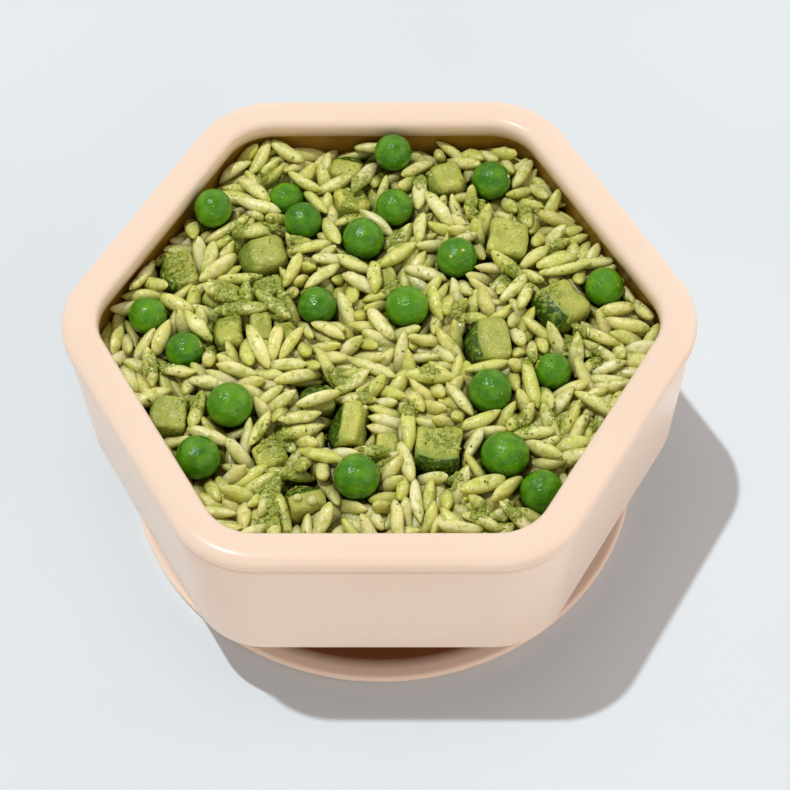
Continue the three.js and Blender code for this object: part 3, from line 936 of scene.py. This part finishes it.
def pour_grains(rng):
    """Drops grains into the bowl and lets them settle: gravity pulls, and whatever touches is pushed apart.

    Each grain is a stiff row of balls that get smaller towards its ends. Gives middles, headings, lengths."""
    count, balls = POUR["grains"], POUR["balls"]
    shares = np.linspace(-POUR["end_ball"], POUR["end_ball"], balls)
    girth = (1 - (2 * shares) ** 2) ** POUR["round"] * np.mean(GRAIN["width"]) / 2 * POUR["slim"]
    lengths = rng.uniform(*GRAIN["length"], count)
    radius = np.tile(girth, count)
    middles = drop_places(rng, count)
    heading = rng.uniform(0, 2 * np.pi, count)
    tilt = np.radians(rng.normal(0, POUR["tilt"], count))
    axes = np.stack([np.cos(heading) * np.cos(tilt), np.sin(heading) * np.cos(tilt), np.sin(tilt)], 1)
    rows, columns = np.triu_indices(count, 1)
    for step in range(POUR["steps"]):
        if step % POUR["look_every"] == 0:
            near = np.linalg.norm(middles[rows] - middles[columns], axis=1) < POUR["near"]
            first, second = rows[near], columns[near]
        points = middles[:, None] + shares[None, :, None] * lengths[:, None, None] * axes[:, None]
        calming = step >= POUR["steps"] * POUR["calm_from"]
        points[..., 2] -= POUR["fall"] * (POUR["calm"] if calming else 1.0)
        flat = points.reshape(-1, 3)
        flat = flat + push_apart(points, girth, first, second)
        flat = flat + push_from_peas(flat, radius)
        flat = flat + push_from_dice(flat, radius)
        flat = flat + push_from_wall(flat, radius)
        flat[:, 2] += np.maximum(core_top(flat) + radius - flat[:, 2], 0)
        flat[:, 2] -= np.maximum(flat[:, 2] + radius - POUR["lid"], 0) * POUR["lid_push"]
        points = flat.reshape(count, balls, 3)
        middles = points.mean(1)
        axes = ((points - middles[:, None]) * shares[None, :, None]).sum(1)
        axes /= np.linalg.norm(axes, axis=1, keepdims=True)
    return middles, axes, lengths


def grain_shape(length, width, flatness, tapers, bend):
    """Rings of one grain along X: two unlike ends, a shallow seam along one side, slightly bent."""
    rings = np.sin(np.linspace(-1, 1, GRAIN["rings"]) * np.pi / 2 * GRAIN["ends"])
    turn = 2 * np.pi * np.arange(GRAIN["sides"]) / GRAIN["sides"]
    seam = 1 - GRAIN["seam"] * np.exp(-((turn - np.pi / 2) / GRAIN["seam_width"]) ** 2)
    rows = []
    for place in rings:
        girth = (1 - abs(place) ** GRAIN["fullness"]) ** tapers[int(place > 0)] * width / 2
        x = np.full(GRAIN["sides"], place * length / 2)
        y = girth * np.cos(turn) * seam
        z = girth * flatness * np.sin(turn) * seam + bend * (GRAIN["droop"] - place ** 2)
        rows.append(np.stack([x, y, z], 1))
    tip = bend * (GRAIN["droop"] - 1)
    return loft(rows, (-length / 2, 0, tip), (length / 2, 0, tip))


def orzo_grains(material, rng):
    """The loose grains, each with its own length, girth, bend, tint and stain, and painted shade on its
    underside.
    """
    middles, axes, lengths = pour_grains(rng)
    shapes, tints, stains, underside_shades = [], [], [], []
    for middle, axis, length in zip(middles, axes, lengths):
        if middle[2] + abs(axis[2]) * length / 2 > POUR["highest"] or covers_dice(middle):
            continue
        width = rng.uniform(*GRAIN["width"])
        points, faces = grain_shape(
            length, width, rng.uniform(*GRAIN["flatness"]),
            rng.uniform(*GRAIN["taper"], 2), rng.normal(0, GRAIN["bend_spread"]) * GRAIN["bend"],
        )
        waves = np.sin(points @ rng.normal(0, GRAIN["waves"], (3, 3)) + rng.uniform(0, 6, 3))
        points = points + GRAIN["uneven"] * waves * [0.5, 1.0, 1.0]
        side = np.cross([0.0, 0.0, 1.0], axis)
        side /= np.linalg.norm(side)
        up = np.cross(axis, side)
        roll = rng.uniform(-GRAIN["roll"], GRAIN["roll"])
        cos, sin = math.cos(roll), math.sin(roll)
        side, up = side * cos + up * sin, up * cos - side * sin
        shapes.append((middle + points @ np.stack([axis, side, up]), faces))
        # Painted shade: each grain darker from a little above its middle down to its underside.
        high = (points[:, 1] * side[2] + points[:, 2] * up[2]) / (width / 2)
        underside_shades.append(np.clip((GRAIN["top_share"] - high) / GRAIN["under_fade"], 0, 1))
        tints.append(np.full(len(points), rng.random()))
        stains.append(np.full(len(points), rng.random() ** 2))
    points, all_faces = joined(shapes)
    piece = make_piece(
        "orzo_grains", points, all_faces, material, tint=np.concatenate(tints),
        stain=np.concatenate(stains), under=np.concatenate(underside_shades),
    )
    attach(piece, "root")
    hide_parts("orzo_heap")
    return piece


def orzo_underneath(material):
    """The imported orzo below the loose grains, with their relief on its top."""
    edge = INSIDE["top"] - GAP
    sides = [hexagon_loop(*row) for row in inside_path(GAP)]
    sides.append(hexagon_loop(edge - CORE["chamfer"], CORE["top"] - CORE["side"]))
    outermost = hexagon_loop(edge, 0.0)
    rings = []
    for share in np.linspace(1, CORE["last_ring"], CORE["rings"]):
        ring = outermost * [share, share, 0]
        bumps = CORE["bump"] * ripple(ring, CORE["bump_size"], NOISE["core"])
        bumps = bumps * min(1.0, (1 - share) * CORE["calm_edge"])
        ring[:, 2] = core_top(ring) - CORE["sunk"] + bumps
        rings.append(ring)
    middle = (0, 0, CORE["top"] + CORE["crown"] - CORE["sunk"])
    points, faces = loft([*sides, *rings], (0, 0, INSIDE["floor"] + GAP), middle)
    piece = make_piece("orzo_underneath", points, faces, material)
    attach(piece, "root")
    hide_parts("orzo_heap")
    return piece


# ------------------------ pesto

def look_down(pieces):
    """A function that gives the point and slope of the food that lies under a place, seen from above."""
    points, faces, start = [], [], 0
    for piece in pieces:
        points.extend(v.co.copy() for v in piece.data.vertices)
        faces.extend([start + k for k in face.vertices] for face in piece.data.polygons)
        start = len(points)
    tree = BVHTree.FromPolygons(points, faces)

    def hit(x, y, lean):
        way = Vector((lean[0], lean[1], -1.0)).normalized()
        start_at = Vector((x, y, LOOK["level"])) * MM - way * (LOOK["above"] * MM)
        place, normal, _, _ = tree.ray_cast(start_at, way)
        if place is None:
            return None
        return np.array(place) / MM, np.array(normal)

    return hit


def lumps_on(found, sizes, thickness, rng, detail=1):
    """Points and faces of small irregular lumps that sit on the food, one at each (point, slope)."""
    unit, faces = ball(detail)
    shapes = []
    for (place, slope), size in zip(found, sizes):
        slope = slope / np.linalg.norm(slope)
        side = np.cross(slope, rng.normal(size=3))
        side /= np.linalg.norm(side)
        other = np.cross(slope, side)
        lump = unit * (1 + LUMP["rough"] * rng.normal(size=(len(unit), 1)).clip(-1, 1))
        length = size / 2 * rng.uniform(*LUMP["length"])
        width = size / 2 * rng.uniform(*LUMP["width"])
        lump = lump * [length, width, size / 2 * thickness]
        shapes.append((place + lump @ np.stack([side, other, slope]), faces))
    return joined(shapes)


def size_by_chance(way, rng):
    """A size for one small thing."""
    smallest, added, power = way["size"]
    return smallest + added * rng.random() ** power


def scattered(way, hit, rng):
    """Places all over the food, with a size for each, thicker in some patches if way has patches."""
    found, sizes = [], []
    while len(found) < way["count"]:
        x, y = rng.uniform(-way["reach"], way["reach"], 2)
        if not inside_wall(x, y, way["from_wall"]):
            continue
        if "patches" in way:
            cloud = noise.noise(Vector((x / way["patch_size"], y / way["patch_size"], NOISE["pesto"])))
            if rng.random() > cloud * way["patches"] + way["least"]:
                continue
        spot = hit(x, y, rng.normal(0, way["lean"], 2))
        if spot and spot[1][2] > way["slope"]:
            found.append(spot)
            sizes.append(size_by_chance(way, rng))
    return found, sizes


def round_dabs(way, hit, rng):
    """Places on the food round the dabs of pesto, with a size for each."""
    found, sizes = [], []
    for x, y, spread in PESTO_DABS:
        for dx, dy in rng.normal(0, spread / way["spread"], (int(way["count"] * spread), 2)):
            spot = hit(x + dx, y + dy, rng.normal(0, way["lean"], 2))
            if spot and spot[1][2] > way["slope"] and inside_wall(x + dx, y + dy, way["from_wall"]):
                place, slope = spot
                lift = rng.uniform(0, way["lift"]) if way["lift"] else 0
                found.append((place + slope * lift, slope))
                sizes.append(size_by_chance(way, rng))
    return found, sizes


def inside_wall(x, y, room):
    """True where a place is at least room away from the bowl's wall."""
    return apothem_at(np.array([[x, y]]))[0] < INSIDE["top"] - room


def pesto_bits(material, hit, rng):
    """Shreds of basil scattered over everything, and more of them round the dabs of pesto."""
    found, sizes = scattered(SHREDS, hit, rng)
    by_dabs, their_sizes = round_dabs(DAB_SHREDS, hit, rng)
    points, faces = lumps_on(found + by_dabs, sizes + their_sizes, LUMP["shred"], rng)
    count = len(found) + len(by_dabs)
    tints = np.repeat(rng.random(count), len(points) // count)
    piece = make_piece("pesto_bits", points, faces, material, tint=tints)
    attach(piece, "root")


def pesto_paste(material, hit, rng):
    """Low dabs of pesto where it has stayed together, each of many small lumps."""
    points, faces = lumps_on(*round_dabs(DAB_LUMPS, hit, rng), LUMP["dab"], rng, detail=2)
    piece = make_piece("pesto_paste", points, faces, material)
    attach(piece, "root")


def cheese_crumbs(material, hit, rng):
    """Pale crumbs of the pesto's cheese, the two largest on the dice at the front."""
    crumbs = []
    for x, y, size in LARGE_CRUMBS:
        place, _ = hit(x, y, (0, 0))
        crumbs.append((place + np.array([0, 0, size * CRUMB["lift"]]), size))
    found, sizes = scattered(CRUMBS, hit, rng)
    crumbs += [(place, size) for (place, _), size in zip(found, sizes)]
    unit, faces = ball(3)
    shapes = []
    for place, size in crumbs:
        rough = CRUMB["rough"] * ripple(unit, CRUMB["rough_size"], size * 10)
        lump = unit * (1 + rough)[:, None] * size / 2
        shapes.append((place + lump * [1, 1, CRUMB["flatness"]], faces))
    points, all_faces = joined(shapes)
    piece = make_piece("cheese_crumbs", points, all_faces, material)
    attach(piece, "root")


# ------------------------ the scene

def floor(material):
    """The table top that the bowl stands on."""
    half = 1500.0
    corners = [(-half, -half, 0), (half, -half, 0), (half, half, 0), (-half, half, 0)]
    piece = make_piece("floor", corners, [(0, 1, 2, 3)], material)


place_camera()
light_studio()
floor(pale_floor())
bowl(moulded_silicone())
rng = np.random.default_rng(11)
pea_piece = peas(blanched_pea(), rng)
dice_piece = courgette_dice(steamed_courgette(), rng)
grain_piece = orzo_grains(cooked_semolina(), rng)
core_piece = orzo_underneath(sunk_pesto_and_shade())
soak_and_shade([pea_piece, dice_piece, grain_piece])
under = look_down([pea_piece, dice_piece, grain_piece, core_piece])
pesto_paste(pesto_sauce(), under, rng)
pesto_bits(chopped_basil(), under, rng)
cheese_crumbs(grated_cheese(), under, rng)
